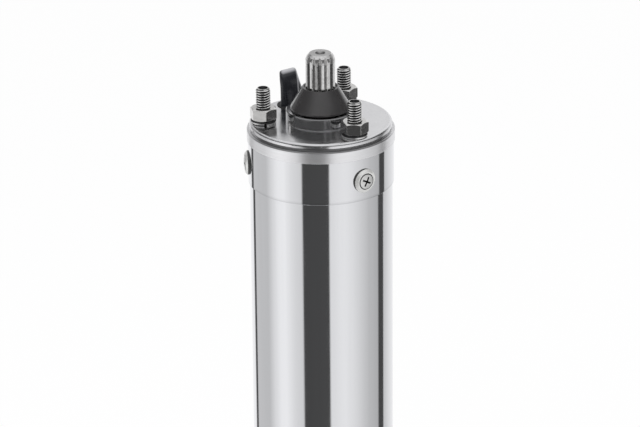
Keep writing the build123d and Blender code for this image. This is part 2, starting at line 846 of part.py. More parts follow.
# Lower bearing bracket, which takes the pump's downthrust on the shoulder under its bearing
with BuildPart() as lower_bearing_bracket:
    bracket_top = z_lower_bearing + bracket_rise
    bracket_rim = spigot_radius - bracket_rim_wall
    bracket_boss = lower_pocket + bracket_boss_wall
    revolve(
        outline(
            (bottom_bore, z_bracket_foot),
            (spigot_radius, z_bracket_foot),
            (spigot_radius, bracket_top),
            (bracket_rim, bracket_top),
            (bracket_rim, z_lower_bearing),
            (bracket_boss, z_lower_bearing),
            (bracket_boss, z_bracket_boss),
            (lower_pocket, z_bracket_boss),
            (lower_pocket, z_lower_bearing),
            (bracket_bore, z_lower_bearing),
            (bracket_bore, z_bracket_web),
            (bottom_bore, z_bracket_web),
        )
    )
    with BuildSketch(Plane.XY.offset(z_lower_bearing)):
        with PolarLocations((bracket_boss + bracket_rim) / 2, bracket_ribs):
            Rectangle(bracket_rim - bracket_boss + bracket_rim_wall, bracket_rib_width)
    extrude(amount=bracket_rise)
    bracket_groove = ring_groove(spigot_radius, ring_depth, ring_width, z_bracket_foot + bracket_ring_height)
    revolve(bracket_groove, mode=Mode.SUBTRACT)
    revolve(
        ring(
            lower_pocket,
            lower_pocket + circlip_depth,
            z_bearing_clip - face_gap,
            z_bearing_clip + circlip_thickness + face_gap,
        ),
        mode=Mode.SUBTRACT,
    )
    with BuildSketch(Plane.XY.offset(z_bracket_foot)):
        with PolarLocations(base_screw_pitch_radius, base_screws_count, start_angle=base_screw_start):
            Circle(base_screw_radius + seat_gap)
    extrude(amount=base_screw_depth + drill_extra, mode=Mode.SUBTRACT)
save(lower_bearing_bracket, "lower_bearing_bracket")

# Rubber cup that lets the filling oil expand
with BuildPart() as diaphragm:
    cup_outer = bottom_bore - diaphragm_wall
    revolve(
        outline(
            (spigot_radius - spigot_gap, z_cap_top),
            (spigot_radius - spigot_gap, z_bracket_foot),
            (cup_outer, z_bracket_foot),
            (cup_outer - diaphragm_draft, z_bracket_foot + diaphragm_rise - diaphragm_round),
            (cup_outer - diaphragm_draft - diaphragm_round, z_bracket_foot + diaphragm_rise),
            (0, z_bracket_foot + diaphragm_rise),
            (0, z_bracket_foot + diaphragm_rise - diaphragm_wall),
            (
                cup_outer - diaphragm_draft - diaphragm_round - diaphragm_wall / 2,
                z_bracket_foot + diaphragm_rise - diaphragm_wall,
            ),
            (
                cup_outer - diaphragm_draft - diaphragm_wall,
                z_bracket_foot + diaphragm_rise - diaphragm_round - diaphragm_wall / 2,
            ),
            (cup_outer - diaphragm_wall, z_cap_top),
        )
    )
    with BuildSketch(Plane.XY.offset(z_cap_top)):
        with PolarLocations(base_screw_pitch_radius, base_screws_count, start_angle=base_screw_start):
            Circle(base_screw_radius + bolt_gap)
    extrude(amount=diaphragm_flange, mode=Mode.SUBTRACT)
save(diaphragm, "diaphragm")

# Base cap with vents to the well's water and sunk screw heads
with BuildPart() as base_cap:
    revolve(
        outline(
            (0, 0),
            (tube_radius - base_chamfer, 0),
            (tube_radius, base_chamfer),
            (tube_radius, base_flange),
            (spigot_radius, base_flange),
            (spigot_radius, z_cap_top),
            (bottom_bore, z_cap_top),
            (bottom_bore, cap_floor + base_chamfer),
            (bottom_bore - base_chamfer, cap_floor),
            (0, cap_floor),
        )
    )
    with BuildSketch():
        with PolarLocations(vent_pitch_radius, vents):
            Circle(vent_radius)
        with PolarLocations(base_screw_pitch_radius, base_screws_count, start_angle=base_screw_start):
            Circle(base_screw_radius + bolt_gap)
    extrude(amount=z_cap_top, mode=Mode.SUBTRACT)
    with BuildSketch():
        with PolarLocations(base_screw_pitch_radius, base_screws_count, start_angle=base_screw_start):
            Circle(base_head_radius + seat_gap)
    extrude(amount=base_head_height + base_head_sink, mode=Mode.SUBTRACT)
save(base_cap, "base_cap")

with BuildPart() as base_screws:
    with BuildSketch(Plane.XY.offset(base_head_sink)):
        with PolarLocations(base_screw_pitch_radius, base_screws_count, start_angle=base_screw_start):
            Circle(base_head_radius)
    extrude(amount=base_head_height)
    with BuildSketch(Plane.XY.offset(base_head_sink + base_head_height)):
        with PolarLocations(base_screw_pitch_radius, base_screws_count, start_angle=base_screw_start):
            Circle(base_screw_radius)
    extrude(amount=z_bracket_foot + base_screw_depth - base_head_sink - base_head_height)
save(base_screws, "base_screws")

# The lead's way: straight up out of the gland, folded over, across the rim and down behind the motor.
# Each point is (x, y from the gland, height). The fold and the way down turn the flat lead, and
# lead_heading is the way in which it comes to lie flat on the floor.
lead_along = (cos(radians(lead_heading)), sin(radians(lead_heading)), 0)
lead_across = (sin(radians(lead_heading)), -cos(radians(lead_heading)), 0)
z_lead = lead_thickness / 2 + floor_gap
lead_route = (
    (0.0, 0.0, z_face + gland_lip_height - gland_pocket),
    (0.0, 0.0, z_face + 8.0),
    (0.4, 0.9, z_face + 16.5),
    (0.9, 4.8, z_face + 18.0),
    (4.1, 7.6, z_face + 10.2),
    (12.6, 14.3, z_face + 1.4),
    (15.0, 17.2, z_face - 20.0),
    (17.0, 20.4, z_face - 62.0),
    (18.0, 21.9, z_face - 138.0),
    (18.3, 22.5, z_face - 210.0),
    (18.0, 21.9, z_face - 266.0),
    (19.0, 23.5, z_face - 303.0),
)
# Its foot, as (distance along the heading from the last of these, height)
lead_foot = ((10.2, z_lead + 9.4), (20.2, z_lead), (28.2, z_lead))

lead_points = [Vector(x, gland_pitch_radius + y, height) for x, y, height in lead_route]
foot_start = Vector(lead_points[-1].X, lead_points[-1].Y, 0)
for along, height in lead_foot:
    lead_points.append(foot_start + Vector(*lead_along) * along + Vector(0, 0, height))
lead_radii = []
for before, corner, after in zip(lead_points, lead_points[1:], lead_points[2:]):
    turn_angle = (corner - before).get_angle(after - corner)
    shorter = min((corner - before).length, (after - corner).length)
    lead_radii.append(lead_bend * shorter / tan(radians(turn_angle / 2)))
print("lead bend radii", [round(radius, 1) for radius in lead_radii])

with BuildPart() as motor_lead:
    with BuildLine() as lead_line:
        FilletPolyline(*lead_points, radius=lead_radii)
    with BuildSketch(Plane(lead_points[0])):
        SlotOverall(lead_width, lead_thickness)
    sweep()
save(motor_lead, "motor_lead")
lead_run = sum(edge.length for edge in lead_line.edges())
print("lead before the coil", round(lead_run, 1), "volume", round(motor_lead.part.volume, 1))

# Rubber gland round the lead
with BuildPart() as lead_gland:
    with BuildSketch(Plane.XY.offset(z_web)):
        with Locations((0, gland_pitch_radius)):
            Circle(gland_stem_radius)
    extrude(amount=z_face - z_web)
    with BuildSketch(Plane.XY.offset(z_face)):
        with Locations((0, gland_pitch_radius)):
            Circle(gland_lip_radius)
    extrude(amount=gland_lip_height)
    fillet(lead_gland.edges().group_by(Axis.Z)[-1], gland_lip_round)
    with BuildSketch(Plane(lead_points[0])):
        SlotOverall(lead_width + 2 * seat_gap, lead_thickness + 2 * seat_gap)
    extrude(amount=gland_pocket, mode=Mode.SUBTRACT)
save(lead_gland, "lead_gland")

# Three wires inside, from the gland to the windings
with BuildPart() as internal_leads:
    with BuildSketch(Plane.XY.offset(z_winding_top)):
        with Locations((0, gland_pitch_radius)):
            with GridLocations(wire_spacing, 0, 3, 1):
                Circle(wire_radius)
    extrude(amount=z_web - z_winding_top)
save(internal_leads, "internal_leads")

# The put-away coil: its turns lie side by side on edge, and a short straight stub takes the lead in
coil_entry = lead_points[-1] + Vector(*lead_along) * coil_stub
coiled_length = lead_length - lead_run - coil_stub - core_length
turn_pitch = lead_thickness + coil_turn_gap
coil_turns = coiled_length / (2 * pi * coil_radius)
coil_layers = ceil(coil_turns)
coil_outer = coil_radius + coil_layers * turn_pitch / 2
coil_inner = coil_radius - coil_layers * turn_pitch / 2
entry_radius = coil_outer - turn_pitch / 2
coil_centre = coil_entry - Vector(*lead_across) * entry_radius - Vector(0, 0, z_lead)
coil_foot = tie_thickness + tie_gap
coil_plane = Plane(coil_centre, x_dir=lead_across, z_dir=(0, 0, 1))
print("coil turns", round(coil_turns, 2), "centre", coil_centre, "radii", coil_inner, coil_outer)

with BuildPart(coil_plane) as lead_coil:
    with BuildSketch(coil_plane.offset(coil_foot)):
        Circle(coil_outer)
        with Locations((entry_radius, -coil_stub / 2)):
            Rectangle(lead_width, coil_stub)
        Circle(coil_inner, mode=Mode.SUBTRACT)
    extrude(amount=lead_width)
save(lead_coil, "lead_coil")

# Tie round the coil's bundle, opposite the stub
with BuildPart() as coil_tie:
    tie_plane = Plane(
        origin=(coil_centre - Vector(*lead_across) * coil_radius + Vector(0, 0, coil_foot + lead_width / 2)),
        x_dir=lead_across,
        z_dir=lead_along,
    )
    bundle = coil_layers * turn_pitch
    tie_sag = coil_outer - sqrt(coil_outer**2 - (tie_width / 2) ** 2)
    tie_across = bundle + 2 * (tie_sag + tie_gap)
    tie_height = lead_width + 2 * tie_gap
    with BuildSketch(tie_plane.offset(-tie_width / 2)):
        RectangleRounded(tie_across + 2 * tie_thickness, tie_height + 2 * tie_thickness, tie_thickness)
        Rectangle(tie_across, tie_height, mode=Mode.SUBTRACT)
    extrude(amount=tie_width)
save(coil_tie, "coil_tie")

# Three stripped cores, one above the other, inside the coil where the lead ends
with BuildPart() as lead_core_ends:
    end_angle = coil_turns * 360
    core_start = coil_inner - core_radius - core_gap
    for layer in range(core_count):
        core_height = coil_foot + lead_width * (layer + 0.5) / core_count
        start = coil_plane * Location((0, 0, 0), (0, 0, end_angle)) * Location((core_start, 0, core_height))
        heading = start * Location((0, 0, 0), (0, 0, core_inward)) * Location((0, 0, 0), (-90, 0, 0))
        with BuildSketch(Plane(heading)):
            Circle(core_radius)
        extrude(amount=core_length)
save(lead_core_ends, "lead_core_ends")
print("mounting face at", z_face, "shaft top at", z_shaft_top)
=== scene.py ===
from math import atan2, cos, pi, radians, sin

import bmesh
import bpy
from mathutils import Matrix, Vector


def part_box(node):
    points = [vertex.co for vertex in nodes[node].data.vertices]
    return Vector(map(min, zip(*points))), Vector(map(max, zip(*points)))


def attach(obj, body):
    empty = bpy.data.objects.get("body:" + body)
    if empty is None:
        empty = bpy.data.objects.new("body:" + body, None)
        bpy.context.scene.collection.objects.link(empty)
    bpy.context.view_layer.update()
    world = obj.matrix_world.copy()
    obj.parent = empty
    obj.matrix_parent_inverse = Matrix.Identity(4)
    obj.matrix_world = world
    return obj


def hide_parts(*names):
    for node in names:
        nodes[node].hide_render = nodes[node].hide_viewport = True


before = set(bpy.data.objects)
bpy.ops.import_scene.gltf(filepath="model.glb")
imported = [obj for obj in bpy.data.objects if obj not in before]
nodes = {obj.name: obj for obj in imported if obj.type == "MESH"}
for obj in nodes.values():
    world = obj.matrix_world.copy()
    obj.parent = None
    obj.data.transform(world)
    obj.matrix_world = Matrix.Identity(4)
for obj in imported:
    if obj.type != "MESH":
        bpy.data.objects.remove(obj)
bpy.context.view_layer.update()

# A slim borehole pump motor, coupling end up. Metres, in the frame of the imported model.
mm = 0.001

# Heights and radii read from the frame
z_plate, z_face = (corner.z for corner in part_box("face_plate"))
z_stud_foot, z_stud_top = (corner.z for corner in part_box("mounting_studs"))
z_washer_foot, z_washer_top = (corner.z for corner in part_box("spring_washers"))
z_screws = sum(corner.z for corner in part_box("side_screws")) / 2
z_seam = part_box("shell_sleeve")[0].z
z_shaft_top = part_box("rotor_shaft")[1].z
rim_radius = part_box("upper_bearing_housing")[1].x
plate_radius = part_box("face_plate")[1].x
screw_front = -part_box("side_screws")[0].y

# Threaded studs
stud_angles = [radians(-90 + 120 * index) for index in range(3)]
stud_circle = 31 * mm
stud_radius = 4 * mm
stud_chamfer = 0.9 * mm
stud_dish_radius = 2.7 * mm
stud_dish_depth = 1.0 * mm
stud_dish_floor = 0.8  # share of the dish's radius that its floor has
stud_core_inset = 0.4 * mm
stud_core_depth = 2.5 * mm
thread_pitch = 1.4 * mm
thread_depth = 0.72 * mm
thread_steps = 32
thread_end_share = 0.3  # share of the chamfer that the thread stays below the stud's end
cone_foot_share = 0.6  # the same share for the foot of the end cone

# Split spring washers
washer_inner = 4.15 * mm
washer_outer = 6.9 * mm
washer_corner = 0.25 * mm
washer_gap = radians(11)
washer_rise = 0.35 * mm
washer_turns = [radians(turn) for turn in (54.0, 0.0, -115.0)]
washer_steps = 72
washer_waist = 0.55  # share of the thickness at which the outer side is divided
washer_shade_share = 0.62  # share of the thickness above which a face gets the painted shadow of the nut

# Cross-recessed side screws
screw_turns = [radians(turn) for turn in (-28.0, 50.0, 10.0)]
screw_head_radius = 4.6 * mm
screw_head_depth = 1.9 * mm
screw_head_steps = 48
screw_crown = 0.5 * mm
screw_crown_steps = 8
screw_groove_inner = 4.0 * mm
screw_groove_depth = 0.1 * mm
screw_groove_margin = 0.01 * mm
screw_rim_inset = 0.1 * mm
screw_rim_drop = 0.12 * mm
screw_shank_radius = 2.5 * mm
screw_shank_length = 5 * mm
recess_reach = 2.65 * mm
recess_width = 0.95 * mm
recess_depth = 1.9 * mm
recess_mouth = 0.6 * mm
recess_mouth_share = 1.12
recess_foot_share = 0.45
recess_shade_share = 1.15  # share of the recess's reach within which sunk faces get painted shade
recess_shade_depth = 0.08 * mm

# Lead: a flat cable, its gland, its way to the coil, and the coil
lead_width = 11.2 * mm
lead_thickness = 4.2 * mm
lead_length = 1500 * mm
gland_circle = 28.8 * mm
gland_lip = 0.5 * mm
gland_pocket = 5 * mm
lead_heading = radians(52.72)
floor_gap = 0.1 * mm
fold_fade = 22 * mm
route_shortcut = 14.6 * mm  # what the smooth curve saves on the route's corners
coil_radius = 50 * mm
coil_layers = 4
coil_turn_gap = 0.4 * mm
coil_stub = 34 * mm
coil_foot = 1.1 * mm
coil_points_per_turn = 24

# Stripped cores at the lead's free end
core_count = 3
core_length = 44 * mm
core_radius = 1.3 * mm
copper_share = 0.62  # the copper's radius as a share of the insulation's
core_inward = radians(40)
core_strip = 9 * mm
core_tuck = 4 * mm
core_straight = 8 * mm
core_bend = 14 * mm
core_inset = 1.0 * mm

# Where a finish, or its painted shade or highlight, changes on its piece: the heights, or the distances from
# the shaft's axis, from and to
z_rim_top = z_plate - 1.0 * mm
plate_roll = plate_radius - 1.5 * mm
seam_span = (z_seam, z_seam + 1.8 * mm)
ledge_span = (z_rim_top - 0.8 * mm, z_rim_top - 0.45 * mm)
ledge_side_span = (32 * mm, 38 * mm)
neck_span = (rim_radius - 1.6 * mm, rim_radius - 1.2 * mm)
plate_foot_span = (z_plate, z_plate + 0.3 * mm)
plate_roll_span = (plate_roll - 2 * mm, plate_roll)
pilot_foot_span = (z_face + 0.3 * mm, z_face + 0.6 * mm)
centre_hole_span = (2.1 * mm, 2.8 * mm)
flute_span = (6.8 * mm, 7.5 * mm)
lead_in_span = (z_shaft_top - 5.5 * mm, z_shaft_top - 4.5 * mm)
highlight_span = (z_face + 5 * mm, z_face + 10 * mm)

# Camera, fitted to the photograph
camera_azimuth = radians(-35.58)
camera_elevation = radians(20.54)
camera_distance = 1.9
camera_pitch = radians(22.07)
camera_pan = radians(0.027)
camera_roll = radians(-0.5)
camera_lens = 198.1
camera_reach = 20

# Floor and lamps
floor_size = 8.0
floor_white = 0.95
floor_glow = 0.9
lamp_aim = Vector((0, 0, 0.25))
lamp_size = 1.2

# Colours of the studio above and below the bands, of its soft light, and of the paper
overhead_color = (0.75, 0.75, 0.76, 1)
below_color = (0.74, 0.74, 0.75, 1)
soft_color = (0.78, 0.78, 0.79, 1)
paper_color = (1, 1, 1, 1)

# Height of a direction, from and to, between which one part of the studio fades into the next
high_span = (0.03, 0.13)
overhead_span = (0.5, 0.7)
below_span = (-0.6, -0.8)
below_share = 0.55  # how much of the colour below shows at most

# Two rings of the studio that metal shows, one level with the motor and one above it, by the direction
# seen from the motor: degrees from the camera's side, brightness
low_studio = (
    (-180, 0.97),
    (-146, 0.9),
    (-142.5, 0.07),
    (-136, 0.07),
    (-134.5, 0.6),
    (-98, 0.56),
    (-88, 0.73),
    (-72, 0.93),
    (-62, 0.95),
    (-48, 0.79),
    (-31.4, 0.68),
    (-30, 0.063),
    (11.6, 0.068),
    (13, 0.79),
    (30, 0.85),
    (38, 0.87),
    (50, 0.81),
    (65, 0.7),
    (80, 0.57),
    (103.5, 0.46),
    (105, 0.066),
    (118, 0.066),
    (119.5, 0.6),
    (140, 0.8),
    (180, 0.97),
)
high_studio = (
    (-180, 0.62),
    (-150, 0.5),
    (-134, 0.3),
    (-118, 0.05),
    (11, 0.045),
    (13, 0.17),
    (15.5, 0.17),
    (18, 0.045),
    (28, 0.05),
    (34, 0.13),
    (54, 0.13),
    (60, 0.05),
    (125, 0.05),
    (150, 0.9),
    (180, 0.75),
)


# Small mesh helpers


def new_object(name, mesh, body="root"):
    """Links a finished mesh and gives it its body."""
    piece = bpy.data.objects.new(name, mesh)
    bpy.context.scene.collection.objects.link(piece)
    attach(piece, body)
    return piece


def finished_mesh(name, mesh_data, smooth_angle=35):
    """Turns a bmesh into a mesh with clean normals, smooth but for its sharp edges."""
    bmesh.ops.remove_doubles(mesh_data, verts=mesh_data.verts, dist=1e-7)
    bmesh.ops.recalc_face_normals(mesh_data, faces=mesh_data.faces)
    for face in mesh_data.faces:
        face.smooth = True
    for edge in mesh_data.edges:
        if len(edge.link_faces) == 2:
            edge.smooth = edge.calc_face_angle(0) < radians(smooth_angle)
    mesh = bpy.data.meshes.new(name)
    mesh_data.to_mesh(mesh)
    mesh_data.free()
    return mesh


def add_rings(mesh_data, rings):
    """Skins rings of points, each as long as the next, into a tube with closed ends."""
    rows = [[mesh_data.verts.new(point) for point in ring] for ring in rings]
    for low, high in zip(rows, rows[1:]):
        for index in range(len(low)):
            after = (index + 1) % len(low)
            mesh_data.faces.new((low[index], low[after], high[after], high[index]))
    mesh_data.faces.new(rows[0])
    mesh_data.faces.new(list(reversed(rows[-1])))


def polar(radius, angle, height):
    """A point at a radius and an angle about Z."""
    return Vector((radius * cos(angle), radius * sin(angle), height))


def lathe(mesh_data, profile, steps, place=Matrix.Identity(4)):
    """Turns a (radius, height) profile about Z; a point on the axis closes it."""
    rows = []
    for radius, height in profile:
        count = steps if radius > 0 else 1
        points = [polar(radius, 2 * pi * step / steps, height) for step in range(count)]
        rows.append([mesh_data.verts.new(place @ point) for point in points])
    for low, high in zip(rows, rows[1:]):
        for step in range(steps):
            after = (step + 1) % steps
            corners = (
                low[step % len(low)],
                low[after % len(low)],
                high[after % len(high)],
                high[step % len(high)],
            )
            unique = list(dict.fromkeys(corners))
            if len(unique) > 2:
                mesh_data.faces.new(unique)


# Materials


class Graph:
    """A node tree, with the small steps that the materials and the world share."""

    def __init__(self, tree):
        self.tree = tree

    def add(self, kind, **settings):
        node = self.tree.nodes.new(kind)
        for key, value in settings.items():
            setattr(node, key, value)
        return node

    def link(self, output, target):
        self.tree.links.new(output, target)

    def spread(self, value, low, high, span=(0.3, 0.7), soft=False):
        """A value, such as noise, mapped from its span to a range."""
        ranged = self.add("ShaderNodeMapRange", interpolation_type="SMOOTHSTEP" if soft else "LINEAR")
        ranged.inputs["From Min"].default_value = span[0]
        ranged.inputs["From Max"].default_value = span[1]
        ranged.inputs["To Min"].default_value = low
        ranged.inputs["To Max"].default_value = high
        self.link(value, ranged.inputs["Value"])
        return ranged.outputs["Result"]

    def join(self, first, second, operation):
        """Two values joined by arithmetic."""
        node = self.add("ShaderNodeMath", operation=operation)
        self.link(first, node.inputs[0])
        self.link(second, node.inputs[1])
        return node.outputs["Value"]

    def blend(self, share, under, over):
        """A colour that goes from one to another by a share; each is a socket or a fixed colour."""
        mix = self.add("ShaderNodeMix", data_type="RGBA")
        self.link(share, mix.inputs[0])
        sockets = [socket for socket in mix.inputs if socket.type == "RGBA"]
        for socket, color in zip(sockets, (under, over)):
            if isinstance(color, tuple):
                socket.default_value = color
            else:
                self.link(color, socket)
        return next(socket for socket in mix.outputs if socket.type == "RGBA")


class Shader(Graph):
    """One procedural material, built up from a principled shader."""

    def __init__(self, name, color, roughness, metallic=0.0, **sockets):
        self.material = bpy.data.materials.new(name)
        self.material.use_nodes = True
        super().__init__(self.material.node_tree)
        self.bsdf = self.tree.nodes["Principled BSDF"]
        self.color = color
        self.roughness = roughness
        self.bsdf.inputs["Base Color"].default_value = (*color, 1)
        self.bsdf.inputs["Roughness"].default_value = roughness
        self.bsdf.inputs["Metallic"].default_value = metallic
        for socket, value in sockets.items():
            self.bsdf.inputs[socket.replace("_", " ")].default_value = value
        # The last step of the colour, the roughness and the normal, for the next step to build on
        self.tinted = None
        self.roughened = None
        self.normal = None

    def place(self, scale):
        """Object coordinates, stretched."""
        coordinates = self.add("ShaderNodeTexCoord")
        mapping = self.add("ShaderNodeMapping")
        mapping.inputs["Scale"].default_value = scale
        self.link(coordinates.outputs["Object"], mapping.inputs["Vector"])
        return mapping.outputs["Vector"]

    def noise(self, scale, detail=4.0, stretch=(1, 1, 1)):
        texture = self.add("ShaderNodeTexNoise")
        texture.inputs["Scale"].default_value = scale
        texture.inputs["Detail"].default_value = detail
        texture.inputs["Roughness"].default_value = 0.55
        self.link(self.place(stretch), texture.inputs["Vector"])
        return texture.outputs["Fac"]

    def axis_distance(self):
        """The distance from the shaft's axis."""
        length = self.add("ShaderNodeVectorMath", operation="LENGTH")
        self.link(self.place((1, 1, 0)), length.inputs[0])
        return length.outputs["Value"]

    def radial_noise(self, scale, detail=3.0):
        """Noise along the distance from the shaft's axis, as a lathe leaves on a faced surface."""
        texture = self.add("ShaderNodeTexNoise", noise_dimensions="1D")
        texture.inputs["Scale"].default_value = scale
        texture.inputs["Detail"].default_value = detail
        self.link(self.axis_distance(), texture.inputs["W"])
        return texture.outputs["Fac"]

    def along(self, axis, source="Object"):
        """One component of the object's own coordinates or normal."""
        coordinates = self.add("ShaderNodeTexCoord")
        parts = self.add("ShaderNodeSeparateXYZ")
        self.link(coordinates.outputs[source], parts.inputs["Vector"])
        return parts.outputs[axis]

    def outward(self):
        """How far a surface faces away from the shaft's axis."""
        coordinates = self.add("ShaderNodeTexCoord")
        away = self.add("ShaderNodeVectorMath", operation="NORMALIZE")
        self.link(self.place((1, 1, 0)), away.inputs[0])
        facing = self.add("ShaderNodeVectorMath", operation="DOT_PRODUCT")
        self.link(coordinates.outputs["Normal"], facing.inputs[0])
        self.link(away.outputs["Vector"], facing.inputs[1])
        return facing.outputs["Value"]

    def beside(self, direction):
        """How far a point lies from the shaft's axis, measured along a level direction."""
        sideways = self.add("ShaderNodeVectorMath", operation="DOT_PRODUCT")
        sideways.inputs[1].default_value = direction
        self.link(self.place((1, 1, 1)), sideways.inputs[0])
        distance = self.add("ShaderNodeMath", operation="ABSOLUTE")
        self.link(sideways.outputs["Value"], distance.inputs[0])
        return distance.outputs["Value"]

    def vary_color(self, value, low, high, span=(0.3, 0.7)):
        """Scales the colour by a factor that goes from low to high over the value's span."""
        scaled = self.add("ShaderNodeVectorMath", operation="SCALE")
        if self.tinted is None:
            scaled.inputs[0].default_value = self.color
        else:
            self.link(self.tinted, scaled.inputs[0])
        self.link(self.spread(value, low, high, span), scaled.inputs["Scale"])
        self.tinted = scaled.outputs["Vector"]
        self.link(self.tinted, self.bsdf.inputs["Base Color"])
        return self

    def overlay(self, share, color):
        """Lays another colour over the present one by a share."""
        self.tinted = self.blend(share, self.tinted, (*color, 1))
        self.link(self.tinted, self.bsdf.inputs["Base Color"])
        return self

    def vary_roughness(self, value, low, high, span=(0.3, 0.7)):
        """Scales the roughness by a factor that goes from low to high over the value's span."""
        scaled = self.add("ShaderNodeMath", operation="MULTIPLY")
        if self.roughened is None:
            scaled.inputs[0].default_value = self.roughness
        else:
            self.link(self.roughened, scaled.inputs[0])
        self.link(self.spread(value, low, high, span), scaled.inputs[1])
        self.roughened = scaled.outputs["Value"]
        self.link(self.roughened, self.bsdf.inputs["Roughness"])
        return self

    def round_edges(self, radius):
        """Softens sharp edges in the normals."""
        bevel = self.add("ShaderNodeBevel", samples=6)
        bevel.inputs["Radius"].default_value = radius
        self.normal = bevel.outputs["Normal"]
        self.link(self.normal, self.bsdf.inputs["Normal"])
        return self

    def bump(self, value, distance, strength=1.0):
        bump = self.add("ShaderNodeBump")
        bump.inputs["Distance"].default_value = distance
        bump.inputs["Strength"].default_value = strength
        self.link(value, bump.inputs["Height"])
        if self.normal is not None:
            self.link(self.normal, bump.inputs["Normal"])
        self.normal = bump.outputs["Normal"]
        self.link(self.normal, self.bsdf.inputs["Normal"])
        return self


def shell_steel(name):
    """Drawn tube, polished, with faint lines along it."""
    shader = Shader(name, (0.86, 0.865, 0.88), 0.07, metallic=1.0)
    lines = shader.noise(160, stretch=(1, 1, 0.02))
    shader.vary_color(lines, 0.975, 1.02)
    shader.vary_roughness(shader.noise(30), 0.75, 1.3)
    return shader.bump(lines, 0.002 * mm, 0.3)


def sleeve_steel():
    """The upper skirt: the shell's finish, with painted shade in a band just above the seam, where its end
    is rolled in.
    """
    shader = shell_steel("sleeve_steel")
    # Painted shade: darker towards the seam
    return shader.vary_color(shader.along("Z"), 0.82, 1.0, span=seam_span)


def satin_steel(name):
    """Turned steel, satin."""
    shader = Shader(name, (0.9, 0.9, 0.91), 0.3, metallic=0.85)
    rings = shader.noise(60, detail=6, stretch=(1, 1, 60))
    shader.vary_color(rings, 0.94, 1.05)
    shader.round_edges(0.25 * mm)
    return shader.bump(rings, 0.01 * mm, 0.5)


def rim_steel():
    """The bearing housing: a satin wall, with painted shade on the ledge under the mounting plate and
    lighter painted shade on the neck.
    """
    shader = satin_steel("rim_steel")
    # Painted shade: the ledge is darkest at the front and back as seen from the camera and lighter at its
    # two sides
    beside = shader.beside((cos(camera_azimuth), sin(camera_azimuth), 0))
    side_share = shader.spread(beside, 0, 0.75, ledge_side_span)
    below_ledge = shader.spread(shader.along("Z"), 1, 0, ledge_span)
    shader.vary_color(shader.join(side_share, below_ledge, "MAXIMUM"), 0.3, 1.0, span=(0, 1))
    # Painted shade, lighter on the neck inside the ledge
    return shader.vary_color(shader.axis_distance(), 1.6, 1.0, span=neck_span)


def mirror_steel():
    """Mounting plate, polished over fine turning rings, duller on its rolled edge, with painted shade at its
    foot.
    """
    shader = Shader("mirror_steel", (0.84, 0.84, 0.85), 0.15, metallic=1.0)
    rings = shader.radial_noise(2600)
    shader.vary_color(shader.noise(90), 0.96, 1.03)
    # Painted shade along the underside of the rolled edge
    shader.vary_color(shader.along("Z"), 0.4, 1.0, span=plate_foot_span)
    shader.vary_roughness(shader.noise(140), 0.75, 1.4)
    shader.vary_roughness(shader.axis_distance(), 1.0, 1.5, span=plate_roll_span)
    return shader.bump(rings, 0.004 * mm, 0.35)


def pilot_steel():
    """Ground and polished ring that centres the pump."""
    shader = Shader("pilot_steel", (0.85, 0.85, 0.86), 0.12, metallic=1.0)
    rings = shader.noise(80, detail=5, stretch=(1, 1, 40))
    shader.vary_roughness(rings, 0.8, 1.3)
    # A duller line along its foot
    shader.vary_roughness(shader.along("Z"), 3.0, 1.0, span=pilot_foot_span)
    # Painted shade by slope: the chamfer between the wall and the top is darker than both
    upward = shader.along("Z", "Normal")
    shader.vary_color(upward, 1.0, 0.3, span=(0.3, 0.6))
    shader.vary_color(upward, 1.0, 3.6, span=(0.85, 0.97))
    return shader.bump(rings, 0.002 * mm, 0.3)


def fastener_steel(name, color, roughness, edge):
    """Stainless fasteners with small handling marks, their sharp edges rounded by a hair."""
    shader = Shader(name, color, roughness, metallic=1.0)
    shader.vary_color(shader.noise(300, detail=5), 0.9, 1.06)
    shader.vary_roughness(shader.noise(500), 0.8, 1.4)
    if edge:
        shader.round_edges(edge)
    return shader.bump(shader.noise(500, detail=3), 0.01 * mm, 0.25)


def cup_steel():
    """Cup washers of the side screws, satin on their faces, with painted shade on the narrow rim against the
    shell.
    """
    shader = Shader("cup_steel", (0.86, 0.86, 0.84), 0.42, metallic=0.65)
    # Painted shade on the faces that turn outwards
    return shader.vary_color(shader.outward(), 0.12, 1.0, span=(0.35, 0.6))


def washer_steel():
    """Spring washers, satin."""
    shader = Shader("washer_steel", (0.85, 0.85, 0.84), 0.38, metallic=1.0)
    shader.vary_color(shader.noise(300, detail=5), 0.88, 1.08)
    shader.round_edges(0.2 * mm)
    return shader.bump(shader.noise(500, detail=3), 0.01 * mm, 0.25)


def shaft_steel():
    """Hobbed spline and turned shaft end."""
    shader = Shader("shaft_steel", (0.83, 0.825, 0.815), 0.17, metallic=1.0)
    grain = shader.noise(500, detail=5, stretch=(1, 1, 0.1))
    shader.vary_color(grain, 0.9, 1.05)
    # Painted shade on the end face, and in the centre hole in it
    shader.vary_color(shader.along("Z", "Normal"), 1.0, 0.68, span=(0.8, 1.0))
    shader.vary_color(shader.axis_distance(), 0.4, 1.0, span=centre_hole_span)
    shader.vary_color(shader.noise(700, detail=3), 0.85, 1.08)
    # Painted shade: the flutes are darker at their roots, below the turned lead-in
    above_roots = shader.spread(shader.axis_distance(), 0, 1, flute_span)
    lead_in = shader.spread(shader.along("Z"), 0, 1, lead_in_span)
    shader.vary_color(shader.join(above_roots, lead_in, "MAXIMUM"), 0.5, 1.0, span=(0, 1))
    shader.vary_roughness(shader.noise(600), 0.8, 1.3)
    shader.vary_roughness(lead_in, 1.0, 1.9, span=(0, 1))
    shader.round_edges(0.15 * mm)
    return shader.bump(grain, 0.01 * mm, 0.35)


def dark_steel(name, color, roughness):
    """Oiled inner metal, such as laminations, bearings and cages, and the painted shade of recesses, thread
    roots and the washers' tops.
    """
    shader = Shader(name, color, roughness, metallic=1.0)
    shader.vary_color(shader.noise(300, detail=5), 0.85, 1.12)
    return shader.bump(shader.noise(500), 0.01 * mm, 0.4)


